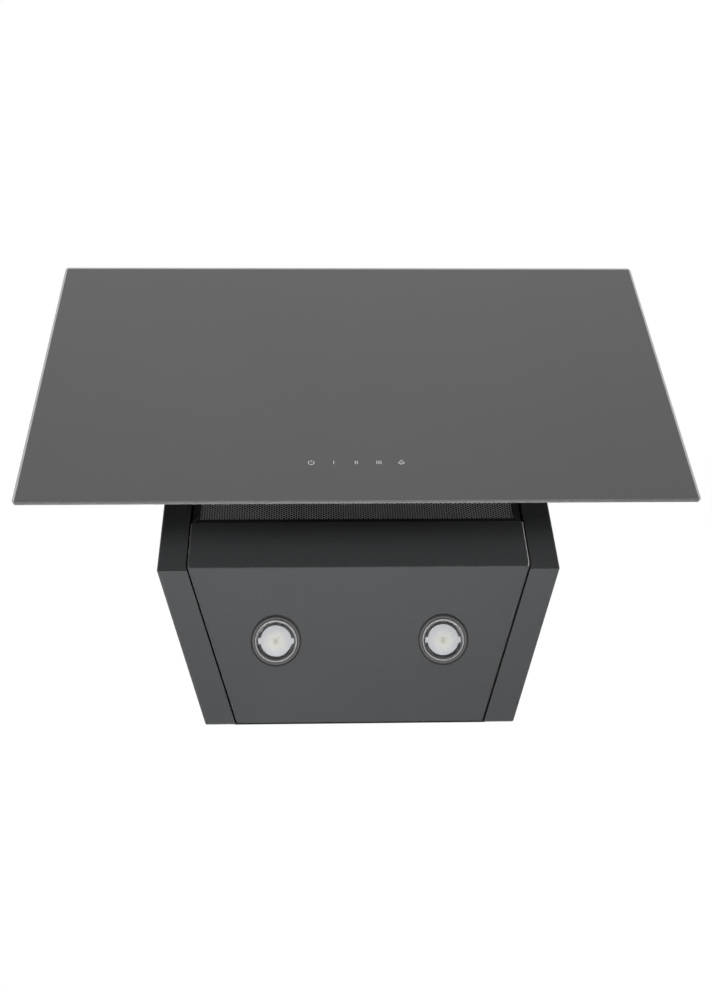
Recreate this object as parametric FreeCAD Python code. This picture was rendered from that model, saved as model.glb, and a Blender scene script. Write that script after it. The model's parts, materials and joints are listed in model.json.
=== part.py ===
import FreeCAD, Part
import math
import os

from FreeCAD import Placement, Rotation, Vector

# Angled wall hood with a tilting glass front. Millimetres, +Z up.
# The wall is the plane y = 0, the room lies towards -Y and +X is to the right of someone facing the hood.
# The origin is the centre of the four wall screw holes, on the wall.

# Casing
BODY_WIDTH = 354.0
WALL_WIDTH = 270.0
BODY_HEIGHT = 300.0
BOTTOM_DEPTH = 135.0
TOP_DEPTH = 275.0
FACE_ANGLE = 45.0
FACE_LENGTH = 300.0
LIP_HEIGHT = 20.0
SHEET = 1.0
BEND_RADIUS = 2.0
FLANGE = 25.0
SEAM = 1.2
CORNER_SLIT = 0.5
RETURN = 14.0
LAP = 14.0
LEDGE = 12.0
ROOF_INSET = 3.0

# Wall fixing
MOUNT_HEIGHT = 160.0
WALL_HOLES_ACROSS = 180.0
WALL_HOLES_UP = 190.0
WALL_HOLE_RADIUS = 4.0

# Glass front and its carrier
GLASS_WIDTH = 600.0
GLASS_HEIGHT = 350.0
GLASS_THICKNESS = 4.0
GLASS_CORNER = 4.0
GLASS_ARRIS = 1.0
GLASS_START = 34.5
GLASS_GAP = 46.0
CARRIER_WIDTH = 360.0
CARRIER_FROM_BOTTOM = 68.0
CARRIER_FROM_TOP = 34.0
CARRIER_BAND = 50.0
CARRIER_RETURN = 8.0
CARRIER_CORNER = 8.0
CARRIER_SHEET = 1.0

# Touch control behind the glass
TOUCH_UP = 47.0
TOUCH_WIDTH = 124.0
TOUCH_HEIGHT = 30.0
TOUCH_DEPTH = 8.0
TOUCH_WALL = 1.6
TOUCH_BOARD = 1.6
KEY_COUNT = 5
KEY_PITCH = 20.0
KEY_RADIUS = 4.0

# Glass hinges and catches
HINGE_SPACING = 230.0
HINGE_OVERHANG = 30.0
HINGE_OUT = 20.0
HINGE_PLATE = 3.0
HINGE_FOOT = 24.0
HINGE_FOOT_PLATE = 2.0
HINGE_EYE = 8.0
HINGE_PIN = 3.0
HINGE_HEAD = 5.0
HINGE_HEAD_HEIGHT = 2.5
ARM_FOOT = 40.0
ARM_FOOT_BELOW = 24.0
FOOT_SCREW_SHARES = (0.3, 0.8)
CATCH_FROM_TOP = 120.0
CATCH_BASE = 20.0
CATCH_TOP = 13.0
MAGNET_RADIUS = 5.0
MAGNET_THICKNESS = 3.0
STRIKE_SIZE = 16.0
STRIKE_THICKNESS = 1.5
STRIKE_EDGE = 6.5

# Lamp panel and lamps
BAND = 57.0
BAND_PROUD = 1.4
LAMP_SPACING = 146.5
LAMP_DEPTH = 62.3
LAMP_FLANGE = 22.0
LAMP_FLANGE_HEIGHT = 1.2
LAMP_FLANGE_ARRIS = 0.5
LAMP_BARREL = 19.2
LAMP_BARREL_HEIGHT = 8.0
LAMP_STEP = 2.5
LAMP_RIM = 18.4
LAMP_RIM_WIDTH = 1.0
LAMP_RIM_SLOPE = 0.5
LAMP_THROAT = 15.8
LAMP_CAN = 17.2
LAMP_CAN_HEIGHT = 18.0
LAMP_WALL = 1.4
LAMP_PROUD = 1.9
LED_LEVEL = 5.0
LED_BOARD = 1.6
DIFFUSER_RADIUS = 13.6
DIFFUSER_TAB = 5.0
DIFFUSER_TAB_LEVEL = 0.6
DIFFUSER_CROWN = 0.4
DIFFUSER_TOP = 2.0
CLIP_WIDTH = 8.0
CLIP_THICKNESS = 0.6
CLIP_REACH = 28.5
CLIP_LOW = 4.0
CLIP_HIGH = 7.6
CLIP_TOE = 2.0
CLIP_TOE_RISE = 1.1

# Filter cassette
HEADER = 30.0
FILTER_SIDE_GAP = 2.0
FILTER_END_GAP = 1.5
FILTER_RECESS = 4.0
FILTER_DEPTH = 10.0
FILTER_RIM = 6.5
FILTER_WALL = 1.2
FILTER_GROOVE = 3.0
FILTER_MESH = 0.8
FILTER_PEG = 2.0
FILTER_PEG_ALONG = 4.5
PULL_WIDTH = 36.0
PULL_HEIGHT = 12.0
PULL_SHEET = 1.2
HOLD_MAGNET = 3.5
HOLD_SPACING = 200.0

# Blower
FAN_SETBACK = 98.0
FAN_DROP = 114.0
FAN_RADIUS = 75.0
BLADE_DEPTH = 13.0
BLADE_COUNT = 32
BLADE_THICKNESS = 1.0
BLADE_SWEEP = 9.0
FAN_WIDTH = 96.0
FAN_RING = 2.0
HUB_RADIUS = 12.0
HUB_LENGTH = 14.0
SCROLL_GAP = 11.0
SCROLL_GROWTH = 10.0
SCROLL_WIDTH = 104.0
SCROLL_SHEET = 1.2
TONGUE_ANGLE = 120.0
TONGUE_NOSE = 5.0
INLET_LIP = 6.0
OUTLET_RIM = 10.0
OUTLET_PLATE = 1.5
MOTOR_RADIUS = 40.0
MOTOR_LENGTH = 58.0
MOTOR_ROUND = 5.0
SHAFT_RADIUS = 4.0
SPIDER_ARMS = 3
SPIDER_WIDTH = 10.0
SPIDER_PLATE = 3.0
SPIDER_RING = 4.0

# Outlet collar and check flaps
COLLAR_RADIUS = 74.5
COLLAR_WALL = 2.0
COLLAR_HEIGHT = 60.0
COLLAR_FLANGE = 86.0
COLLAR_PLATE = 2.0
FLAP_HEIGHT = 16.0
FLAP_THICKNESS = 1.2
FLAP_PIN = 2.0
FLAP_KNUCKLE = 3.2
FLAP_STOP = 3.5

# Electronics and cable gland
BOX_WIDTH = 120.0
BOX_DEPTH = 40.0
BOX_HEIGHT = 52.0
BOX_RISE = 32.0
BOX_WALL = 2.0
CONTROL_BOARD = 1.6
BOARD_STANDOFF = 5.0
CAPACITOR_RADIUS = 11.0
CAPACITOR_LENGTH = 40.0
CAPACITOR_CRIMP = 2.0
GLAND_X = 100.0
GLAND_SETBACK = 42.0
GLAND_RADIUS = 9.5
GLAND_BORE = 4.0
GLAND_NECK = 6.7
GLAND_BASE = 6.0
GLAND_CAP = 8.2
GLAND_CAP_STEP = 0.5
GLAND_SHOULDER = 12.0
GLAND_HEIGHT = 15.0
GLAND_TAIL = 8.0
GLAND_NUT = 5.0
GLAND_NUT_RADIUS = 11.0

# Fasteners and fits
SCREW_RADIUS = 1.9
SCREW_HEAD = 3.6
SCREW_HEAD_HEIGHT = 2.2
SCREW_LENGTH = 7.0
TRAY_SCREW_SHARES = (0.5, 0.8)
ROOF_SCREW_SHARES = (0.12, 0.5, 0.9)
RIVET_RADIUS = 1.6
RIVET_HEAD = 3.0
RIVET_HEAD_HEIGHT = 1.2
RIVET_SHARES = (0.2, 0.5, 0.8)
SEAT = 0.3
HOLE_CLEARANCE = 0.2
RUNNING_CLEARANCE = 0.06
FIT_CLEARANCE = 0.1
FAR = 2000.0

# Derived levels and places
BOTTOM_Z = -MOUNT_HEIGHT
TOP_Z = BODY_HEIGHT - MOUNT_HEIGHT
TAPER = math.atan2((BODY_WIDTH - WALL_WIDTH) / 2, BOTTOM_DEPTH)
FACE = Placement(Vector(0, -BOTTOM_DEPTH, BOTTOM_Z), Rotation(Vector(1, 0, 0), 180 - FACE_ANGLE))
GLASS_END = GLASS_START + GLASS_HEIGHT
HINGE_ALONG = FACE_LENGTH + HINGE_OVERHANG
HEADER_START = FACE_LENGTH - HEADER
CATCH_ALONG = FACE_LENGTH - CATCH_FROM_TOP
FILTER_HALF = BODY_WIDTH / 2 - FLANGE - FILTER_SIDE_GAP
FILTER_START = BAND + FILTER_END_GAP
FILTER_END = HEADER_START - FILTER_END_GAP
FILTER_FRONT = -FILTER_RECESS
FILTER_BACK = -FILTER_RECESS - FILTER_DEPTH
FILTER_MIDDLE = (FILTER_FRONT + FILTER_BACK) / 2
LAMP_Y = LAMP_DEPTH - BOTTOM_DEPTH
FAN_Y = -FAN_SETBACK
FAN_Z = TOP_Z - FAN_DROP
BLADE_INNER = FAN_RADIUS - BLADE_DEPTH
SCROLL_HALF = SCROLL_WIDTH / 2
ROOF_TOP = TOP_Z + SHEET


def face_point(along, out):
    """Side-view place (y, z) of a point up the front face and out from it."""
    point = FACE.multVec(Vector(0, along, out))
    return (point.y, point.z)


def on_face(shape):
    """Set a shape drawn as (across, up the face, out of the face) on the sloping front face."""
    moved = shape.copy()
    moved.Placement = FACE.multiply(moved.Placement)
    return moved


def box(x_low, x_high, y_low, y_high, z_low, z_high):
    return Part.makeBox(x_high - x_low, y_high - y_low, z_high - z_low, Vector(x_low, y_low, z_low))


def rod(radius, start, end):
    axis = Vector(*end) - Vector(*start)
    return Part.makeCylinder(radius, axis.Length, Vector(*start), axis)


def tube(outer, inner, start, end):
    return rod(outer, start, end).cut(rod(inner, start, end))


def prism_x(outline, x_low=-FAR, x_high=FAR):
    """Solid with a side-view outline of (y, z) points."""
    points = [Vector(x_low, y, z) for y, z in outline]
    return Part.Face(Part.makePolygon(points + points[:1])).extrude(Vector(x_high - x_low, 0, 0))


def prism_z(outline, z_low=-FAR, z_high=FAR):
    """Solid with a plan outline of (x, y) points."""
    points = [Vector(x, y, z_low) for x, y in outline]
    return Part.Face(Part.makePolygon(points + points[:1])).extrude(Vector(0, 0, z_high - z_low))


def turned(outline, centre=(0, 0, 0), axis=(0, 0, 1)):
    """Solid turned from (radius, height) points, with heights measured from a centre along an axis."""
    points = [Vector(radius, 0, height) for radius, height in outline]
    solid = Part.Face(Part.makePolygon(points + points[:1])).revolve(Vector(0, 0, 0), Vector(0, 0, 1), 360)
    solid.Placement = Placement(Vector(*centre), Rotation(Vector(0, 0, 1), Vector(*axis)))
    return solid


def mirrored(shape):
    return shape.mirror(Vector(0, 0, 0), Vector(1, 0, 0))


def joined(shapes):
    return shapes[0].multiFuse(shapes[1:]).removeSplitter()


def rounded(shape, radius):
    return shape.makeFillet(radius, shape.Edges)


def rounded_upright(shape, radius):
    """Round only the edges that run along Z."""
    edges = [edge for edge in shape.Edges if abs(edge.tangentAt(edge.FirstParameter).z) > 0.99]
    return shape.makeFillet(radius, edges)


def offset_outline(outline, insets):
    """Move each side of a convex outline inwards by its own distance. Side i starts at point i."""
    count = len(outline)
    pairs = list(zip(outline, outline[1:] + outline[:1]))
    turn = math.copysign(1, sum(a[0] * b[1] - b[0] * a[1] for a, b in pairs))
    lines = []
    for ((x0, y0), (x1, y1)), inset in zip(pairs, insets):
        length = math.hypot(x1 - x0, y1 - y0)
        normal = (-(y1 - y0) / length * turn, (x1 - x0) / length * turn)
        lines.append((normal, normal[0] * x0 + normal[1] * y0 + inset))
    moved = []
    for i in range(count):
        (a, b), c = lines[i - 1]
        (d, e), f = lines[i]
        span = a * e - b * d
        moved.append(((c * e - b * f) / span, (a * f - c * d) / span))
    return moved


def wall_half(y, inset):
    """Half width of the tapered rear of the casing at depth y, drawn in by a distance from its side."""
    return WALL_WIDTH / 2 - y * math.tan(TAPER) - inset / math.cos(TAPER)


def plan(inset):
    """Plan of the casing with its sides drawn in. It runs on past the wall and the front."""
    half = BODY_WIDTH / 2
    past = wall_half(BOTTOM_DEPTH / 2, 0)
    outline = [(-half, -FAR), (half, -FAR), (half, -BOTTOM_DEPTH), (past, BOTTOM_DEPTH / 2),
               (-past, BOTTOM_DEPTH / 2), (-half, -BOTTOM_DEPTH)]
    return prism_z(offset_outline(outline, [0, inset, inset, 0, inset, inset]))


# Side view of the casing: bottom, front face, lip, roof slope, top, wall
FACE_TOP = face_point(FACE_LENGTH, 0)
LIP_TOP = (FACE_TOP[0], FACE_TOP[1] + LIP_HEIGHT)
PROFILE = [(0, BOTTOM_Z), (-BOTTOM_DEPTH, BOTTOM_Z), FACE_TOP, LIP_TOP, (-TOP_DEPTH, TOP_Z), (0, TOP_Z)]


def screw(place, direction):
    """Pan-head screw whose head seats at a place and whose shank runs along a direction."""
    crown = SCREW_HEAD_HEIGHT / 2
    outline = [(0, SCREW_LENGTH), (SCREW_RADIUS, SCREW_LENGTH), (SCREW_RADIUS, 0), (SCREW_HEAD, 0),
               (SCREW_HEAD, -crown), (SCREW_HEAD - crown, -SCREW_HEAD_HEIGHT), (0, -SCREW_HEAD_HEIGHT)]
    return turned(outline, place, direction)


def screw_hole(place, direction):
    way = Vector(*direction)
    start = Vector(*place) - way * SCREW_LENGTH
    return Part.makeCylinder(SCREW_RADIUS + HOLE_CLEARANCE, 2 * SCREW_LENGTH, start, way)


def tray_screw_places():
    """Screws that tie the lamp panel and the header to the side shells, as (up the face, out)."""
    middle = -(SHEET + RETURN) / 2
    return [(BAND * share, middle) for share in TRAY_SCREW_SHARES] + [(FACE_LENGTH - HEADER / 2, middle)]


def tray_screw_start():
    return BODY_WIDTH / 2 - FLANGE - SEAM - SHEET


def tray_holes():
    holes = []
    for along, out in tray_screw_places():
        for side in (-1, 1):
            place = (side * tray_screw_start(), along, out)
            holes.append(on_face(screw_hole(place, (side, 0, 0))))
    return Part.makeCompound(holes)


def roof_screw_places():
    """Roof screws sit on the top flanges of the side shells."""
    places = []
    for share in ROOF_SCREW_SHARES:
        y = -TOP_DEPTH * share
        half = min(wall_half(y, 0), BODY_WIDTH / 2) - FLANGE / 2
        places += [(side * half, y, ROOF_TOP) for side in (-1, 1)]
    return places


def rivet_places():
    x = wall_half(0, FLANGE) + LAP / 2
    levels = [BODY_HEIGHT * share - MOUNT_HEIGHT for share in RIVET_SHARES]
    return [(side * x, -2 * SHEET, z) for side in (-1, 1) for z in levels]


def rivet_hole(place):
    x, y, z = place
    return rod(RIVET_RADIUS + HOLE_CLEARANCE, (x, y - SHEET, z), (x, SHEET, z))


def folded(outline, folded_sides, inset):
    """Bent panel between the side shells: the named sides of an outline, with edges folded in all round."""
    count = len(outline)
    outside = rounded(prism_x(outline).common(plan(inset)), BEND_RADIUS)
    inner_outline = offset_outline(outline, [SHEET] * count)
    inside = rounded(prism_x(inner_outline).common(plan(inset + SHEET)), BEND_RADIUS - SHEET)
    depths = [RETURN if side in folded_sides else 0 for side in range(count)]
    edge_band = prism_x(outline).cut(prism_x(offset_outline(outline, depths)))
    return outside.cut(inside).common(edge_band)


def corner_slit():
    """Narrow slit where the bottom and front flanges of a side shell meet at the fold."""
    split = math.radians(180 - FACE_ANGLE) / 2
    inward = Vector(0, math.cos(split), math.sin(split))
    across = Vector(0, -inward.z, inward.y) * (CORNER_SLIT / 2)
    fold = Vector(0, -BOTTOM_DEPTH, BOTTOM_Z)
    near, far = fold - inward * BEND_RADIUS, fold + inward * (BEND_RADIUS + SHEET)
    corners = [near - across, near + across, far + across, far - across]
    half = BODY_WIDTH / 2 - SHEET
    return prism_x([(point.y, point.z) for point in corners], -half, half)


def casing():
    outside = rounded(prism_x(PROFILE).common(plan(0)), BEND_RADIUS)
    inner_outline = offset_outline(PROFILE, [SHEET] * len(PROFILE))
    inside = rounded(prism_x(inner_outline).common(plan(SHEET)), BEND_RADIUS - SHEET)
    trays = outside.cut(inside).cut(plan(FLANGE))
    edge_band = prism_x(PROFILE).cut(prism_x(offset_outline(PROFILE, [RETURN, RETURN, 0, 0, 0, 0])))
    returns = plan(FLANGE - SHEET).cut(plan(FLANGE)).common(edge_band)
    holes = [tray_holes(), corner_slit()]
    holes += [screw_hole(place, (0, 0, -1)) for place in roof_screw_places()]
    holes += [rivet_hole(place) for place in rivet_places()]
    pegs = (FILTER_START + FILTER_PEG_ALONG, FILTER_MIDDLE)
    holes.append(on_face(rod(FILTER_PEG + RUNNING_CLEARANCE, (-BODY_WIDTH / 2 + BEND_RADIUS, *pegs),
                             (BODY_WIDTH / 2 - BEND_RADIUS, *pegs))))
    both = trays.fuse(returns).cut(Part.makeCompound(holes)).removeSplitter()
    left, right = sorted(both.Solids, key=lambda solid: solid.CenterOfMass.x)
    return {"side_shell_left": left, "side_shell_right": right}


def lamp_panel():
    """Bottom panel whose front band is folded up the face, a little proud of the side shells' flanges."""
    fold = -BOTTOM_DEPTH - BAND_PROUD / math.sin(math.radians(FACE_ANGLE))
    ledge_top = face_point(BAND, BAND_PROUD)
    ledge_back = face_point(BAND, -BAND)
    past_wall = BOTTOM_DEPTH / 4
    outline = [(past_wall, BOTTOM_Z), (fold, BOTTOM_Z), ledge_top, ledge_back, (past_wall, ledge_back[1])]
    panel = folded(outline, (0, 1), FLANGE + SEAM)
    panel = panel.cut(box(-FAR, FAR, -SHEET - SEAT, FAR, -FAR, FAR)).cut(tray_holes())
    for x in (-LAMP_SPACING / 2, LAMP_SPACING / 2):
        panel = panel.cut(rod(LAMP_BARREL + HOLE_CLEARANCE, (x, LAMP_Y, BOTTOM_Z - SHEET),
                              (x, LAMP_Y, BOTTOM_Z + 2 * SHEET)))
    return {"lamp_panel": panel}


def header_rail():
    """Bent rail above the filter, from its ledge over the front face to the lip under the roof."""
    back = face_point(HEADER_START, -LIP_HEIGHT - RETURN)
    outline = [back, face_point(HEADER_START, 0), FACE_TOP, LIP_TOP, (back[0], LIP_TOP[1])]
    rail = folded(outline, (1, 2), FLANGE + SEAM).cut(tray_holes())
    for place in bracket_screw_places():
        rail = rail.cut(on_face(screw_hole(place, (0, 0, -1))))
    return {"header_rail": rail}


def back_plate():
    """Wall plate, flush between the side shells, joggled at the sides to lap behind their wall flanges."""
    half = wall_half(0, FLANGE + SEAT)
    plate = box(-half, half, -SHEET, 0, BOTTOM_Z, TOP_Z)
    wing_low = BOTTOM_Z + RETURN + LAP / 2
    wing_high = TOP_Z - LAP
    pieces = [plate]
    for side in (-1, 1):
        ends = sorted((side * (half - LAP / 2), side * (wall_half(0, FLANGE) + LAP)))
        pieces.append(box(*ends, -2 * SHEET, -SHEET, wing_low, wing_high))
    ledge_half = wall_half(0, FLANGE + SEAM + BEND_RADIUS + SEAT)
    pieces.append(box(-ledge_half, ledge_half, -LEDGE, -SHEET, BOTTOM_Z + SHEET, BOTTOM_Z + 2 * SHEET))
    whole = joined(pieces)
    for x in (-WALL_HOLES_ACROSS / 2, WALL_HOLES_ACROSS / 2):
        for z in (-WALL_HOLES_UP / 2, WALL_HOLES_UP / 2):
            whole = whole.cut(rod(WALL_HOLE_RADIUS, (x, -2 * SHEET, z), (x, SHEET, z)))
    for place in rivet_places():
        whole = whole.cut(rivet_hole(place))
    return {"back_plate": whole}


def roof_cover():
    raised = offset_outline(PROFILE, [0, 0, 0, -SHEET, -SHEET, 0])
    cover = prism_x(raised).cut(prism_x(PROFILE)).common(plan(ROOF_INSET))
    cover = cover.cut(box(-FAR, FAR, -ROOF_INSET, FAR, -FAR, FAR))
    centre = (0, collar_y())
    cover = cover.cut(rod(COLLAR_RADIUS - COLLAR_WALL, (*centre, TOP_Z - SHEET), (*centre, ROOF_TOP + SHEET)))
    for place in roof_screw_places() + collar_screw_places():
        cover = cover.cut(screw_hole(place, (0, 0, -1)))
    gland = rod(GLAND_NECK + HOLE_CLEARANCE, (GLAND_X, -GLAND_SETBACK, TOP_Z - SHEET),
                (GLAND_X, -GLAND_SETBACK, ROOF_TOP + SHEET))
    return {"roof_cover": cover.cut(gland)}


def glass_front():
    faces = (GLASS_GAP, GLASS_GAP + GLASS_THICKNESS)
    glass = box(-GLASS_WIDTH / 2, GLASS_WIDTH / 2, GLASS_START, GLASS_END, *faces)
    glass = rounded_upright(glass, GLASS_CORNER)
    rims = [e for e in glass.Edges if any(abs(e.CenterOfMass.z - face) < GLASS_ARRIS / 10 for face in faces)]
    glass = glass.makeChamfer(GLASS_ARRIS, rims)
    half = CARRIER_WIDTH / 2
    low = GLASS_START + CARRIER_FROM_BOTTOM
    high = GLASS_END - CARRIER_FROM_TOP
    back = GLASS_GAP - CARRIER_RETURN
    carrier = rounded_upright(box(-half, half, low, high, back, GLASS_GAP), CARRIER_CORNER)
    wall = CARRIER_SHEET
    hollow = box(-half + wall, half - wall, low + wall, high - wall, back - wall, GLASS_GAP - wall)
    window = box(-half + CARRIER_BAND, half - CARRIER_BAND, low + CARRIER_BAND, high - CARRIER_BAND,
                 back, GLASS_GAP + wall)
    carrier = carrier.cut(rounded_upright(hollow, CARRIER_CORNER - wall))
    carrier = carrier.cut(rounded_upright(window, CARRIER_CORNER))
    return {"glass_panel": on_face(glass), "glass_carrier": on_face(carrier)}


def touch_control():
    middle = GLASS_START + TOUCH_UP
    half_height = TOUCH_HEIGHT / 2
    half_width = TOUCH_WIDTH / 2
    back = GLASS_GAP - TOUCH_DEPTH
    shell = box(-half_width, half_width, middle - half_height, middle + half_height, back, GLASS_GAP)
    shell = rounded_upright(shell, 2 * TOUCH_WALL)
    room = box(-half_width + TOUCH_WALL, half_width - TOUCH_WALL, middle - half_height + TOUCH_WALL,
               middle + half_height - TOUCH_WALL, back + TOUCH_WALL, GLASS_GAP + TOUCH_WALL)
    room = rounded_upright(room, TOUCH_WALL)
    inset = TOUCH_WALL + FIT_CLEARANCE
    floor = back + TOUCH_WALL
    board = box(-half_width + inset, half_width - inset, middle - half_height + inset,
                middle + half_height - inset, floor, floor + TOUCH_BOARD)
    board = rounded_upright(board, TOUCH_WALL)
    pads = []
    for key in range(KEY_COUNT):
        x = (key - (KEY_COUNT - 1) / 2) * KEY_PITCH
        pads.append(rod(KEY_RADIUS, (x, middle, floor + TOUCH_BOARD), (x, middle, GLASS_GAP)))
    return {"touch_housing": on_face(shell.cut(room)), "touch_board": on_face(board),
            "touch_pads": on_face(Part.makeCompound(pads))}


def eye_plate(x_low, foot, foot_out):
    """Flat hinge plate in the side view: a foot edge at one level, running tangent to a round eye."""
    eye = Vector(0, HINGE_ALONG, HINGE_OUT)
    middle = Vector(0, sum(foot) / 2, foot_out)
    way = (eye - middle).normalize()
    cross = Vector(0, way.z, -way.y) * HINGE_EYE
    ends = sorted((eye + cross, eye - cross), key=lambda point: point.y)
    corners = [(foot[0], foot_out), (ends[0].y, ends[0].z), (ends[1].y, ends[1].z), (foot[1], foot_out)]
    plate = prism_x(corners, x_low, x_low + HINGE_PLATE)
    plate = plate.fuse(rod(HINGE_EYE, (x_low, eye.y, eye.z), (x_low + HINGE_PLATE, eye.y, eye.z)))
    bore = rod(HINGE_PIN + RUNNING_CLEARANCE, (x_low - HINGE_PLATE, eye.y, eye.z),
               (x_low + 2 * HINGE_PLATE, eye.y, eye.z))
    return plate.cut(bore)


def bracket_foot():
    """Foot of a hinge bracket, as a stretch up the header."""
    middle = FACE_LENGTH - HEADER / 2
    return (middle - HEADER / 2 + BEND_RADIUS, middle + HEADER / 2 - BEND_RADIUS)


def bracket_screw_places():
    """Two screws in each bracket's foot, inboard of its plate."""
    places = []
    for side in (-1, 1):
        for share in FOOT_SCREW_SHARES:
            x = side * (HINGE_SPACING / 2 - HINGE_FOOT * share)
            places.append((x, sum(bracket_foot()) / 2, HINGE_FOOT_PLATE))
    return places


def hinges():
    """Brackets on the header, arms on the glass carrier and the pins that join them."""
    inner = HINGE_SPACING / 2
    foot = bracket_foot()
    bracket = eye_plate(inner, foot, 0)
    sole = box(inner - HINGE_FOOT, inner + HINGE_PLATE, *foot, 0, HINGE_FOOT_PLATE)
    bracket = bracket.fuse(sole).removeSplitter()
    for place in bracket_screw_places():
        bracket = bracket.cut(screw_hole(place, (0, 0, -1)))
    arm_x = inner + HINGE_PLATE + SEAT
    seat = GLASS_GAP - CARRIER_SHEET
    arm_foot = (HINGE_ALONG - ARM_FOOT_BELOW, HINGE_ALONG - ARM_FOOT_BELOW + ARM_FOOT)
    arm = eye_plate(arm_x, arm_foot, seat)
    arm_sole = box(arm_x, arm_x + HINGE_FOOT, *arm_foot, seat - HINGE_FOOT_PLATE, seat)
    arm = arm.fuse(arm_sole).removeSplitter()
    axis = (HINGE_ALONG, HINGE_OUT)
    pin_start = inner - FIT_CLEARANCE
    pin_end = arm_x + HINGE_PLATE + SEAT
    heads = [(pin_start - HINGE_HEAD_HEIGHT, pin_start), (pin_end, pin_end + HINGE_HEAD_HEIGHT)]
    pin = joined([rod(HINGE_PIN, (pin_start, *axis), (pin_end, *axis))]
                 + [rod(HINGE_HEAD, (low, *axis), (high, *axis)) for low, high in heads])
    pieces = {}
    for name, shape in (("hinge_bracket", bracket), ("hinge_arm", arm), ("hinge_pin", pin)):
        pieces[name + "_left"] = on_face(mirrored(shape))
        pieces[name + "_right"] = on_face(shape)
    return pieces


def catches():
    """Magnetic catches that hold the glass: posts on the front flanges that meet strikes in the carrier."""
    base_x = BODY_WIDTH / 2 - FLANGE / 2
    strike_x = CARRIER_WIDTH / 2 - CARRIER_SHEET - STRIKE_EDGE - STRIKE_SIZE / 2
    strike_front = GLASS_GAP - CARRIER_SHEET
    strike_back = strike_front - STRIKE_THICKNESS
    post_top = strike_back - SEAT - MAGNET_THICKNESS
    half = STRIKE_SIZE / 2
    posts, magnets, strikes = [], [], []
    for side in (-1, 1):
        wires = []
        for size, x, level in ((CATCH_BASE, base_x, 0), (CATCH_TOP, strike_x, post_top)):
            corners = [(-size, -size), (size, -size), (size, size), (-size, size)]
            points = [Vector(side * x + a / 2, CATCH_ALONG + b / 2, level) for a, b in corners]
            wires.append(Part.makePolygon(points + points[:1]))
        posts.append(Part.makeLoft(wires, True, True))
        centre = (side * strike_x, CATCH_ALONG)
        magnets.append(rod(MAGNET_RADIUS, (*centre, post_top), (*centre, post_top + MAGNET_THICKNESS)))
        strike = box(side * strike_x - half, side * strike_x + half, CATCH_ALONG - half, CATCH_ALONG + half,
                     strike_back, strike_front)
        strikes.append(rounded_upright(strike, 2 * STRIKE_THICKNESS))
    groups = {"catch_posts": posts, "catch_magnets": magnets, "strike_plates": strikes}
    return {name: on_face(Part.makeCompound(solids)) for name, solids in groups.items()}


def filter_cassette():
    """Mitred channel frame round a pack of mesh, hung on two pegs and held by two magnets."""
    half = FILTER_HALF
    outer = [(-half, FILTER_START), (half, FILTER_START), (half, FILTER_END), (-half, FILTER_END)]
    inner = offset_outline(outer, [FILTER_RIM] * 4)
    groove = offset_outline(outer, [FILTER_RIM - FILTER_GROOVE] * 4)
    pack_front = FILTER_FRONT - FILTER_WALL
    pack_back = FILTER_BACK + FILTER_WALL
    channel = prism_z(groove, pack_back, pack_front)
    rails = []
    for i in range(4):
        j = (i + 1) % 4
        rail = offset_outline([outer[i], outer[j], inner[j], inner[i]], [0, FIT_CLEARANCE, 0, FIT_CLEARANCE])
        rails.append(prism_z(rail, FILTER_BACK, FILTER_FRONT).cut(channel))
    along = FILTER_START + FILTER_PEG_ALONG
    peg_end = half + FILTER_SIDE_GAP + SHEET + SEAT
    for side, rail in ((1, 1), (-1, 3)):
        start = side * (half - FILTER_RIM + FILTER_GROOVE + FILTER_WALL)
        peg = rod(FILTER_PEG, (start, along, FILTER_MIDDLE), (side * peg_end, along, FILTER_MIDDLE))
        rails[rail] = rails[rail].fuse(peg.cut(channel)).removeSplitter()
    pack = offset_outline(groove, [FIT_CLEARANCE] * 4)
    front = prism_z(pack, pack_front - FILTER_MESH, pack_front)
    core = prism_z(pack, pack_back + FILTER_MESH, pack_front - FILTER_MESH)
    back = prism_z(pack, pack_back, pack_back + FILTER_MESH)
    foot_low = FILTER_END - FILTER_RIM + PULL_SHEET
    foot_high = FILTER_END - PULL_SHEET
    half_pull = PULL_WIDTH / 2
    pull = box(-half_pull, half_pull, foot_low, foot_high, FILTER_FRONT, FILTER_FRONT + PULL_SHEET)
    grip = box(-half_pull, half_pull, foot_low, foot_low + PULL_SHEET, FILTER_FRONT,
               FILTER_FRONT + PULL_HEIGHT)
    tip = [e for e in grip.Edges if e.CenterOfMass.z > FILTER_FRONT and e.Length < 2 * PULL_SHEET
           and abs(e.CenterOfMass.z - FILTER_FRONT - PULL_HEIGHT) < PULL_SHEET]
    grip = grip.makeFillet(PULL_HEIGHT / 3, tip)
    magnets = []
    for x in (-HOLD_SPACING / 2, HOLD_SPACING / 2):
        magnets.append(rod(HOLD_MAGNET, (x, FILTER_END + SEAT, FILTER_MIDDLE),
                           (x, HEADER_START, FILTER_MIDDLE)))
    shapes = {"filter_frame": Part.makeCompound(rails), "filter_mesh_front": front, "filter_core": core,
              "filter_mesh_back": back, "filter_pull": pull.fuse(grip).removeSplitter(),
              "filter_magnets": Part.makeCompound(magnets)}
    return {name: on_face(shape) for name, shape in shapes.items()}


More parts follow.
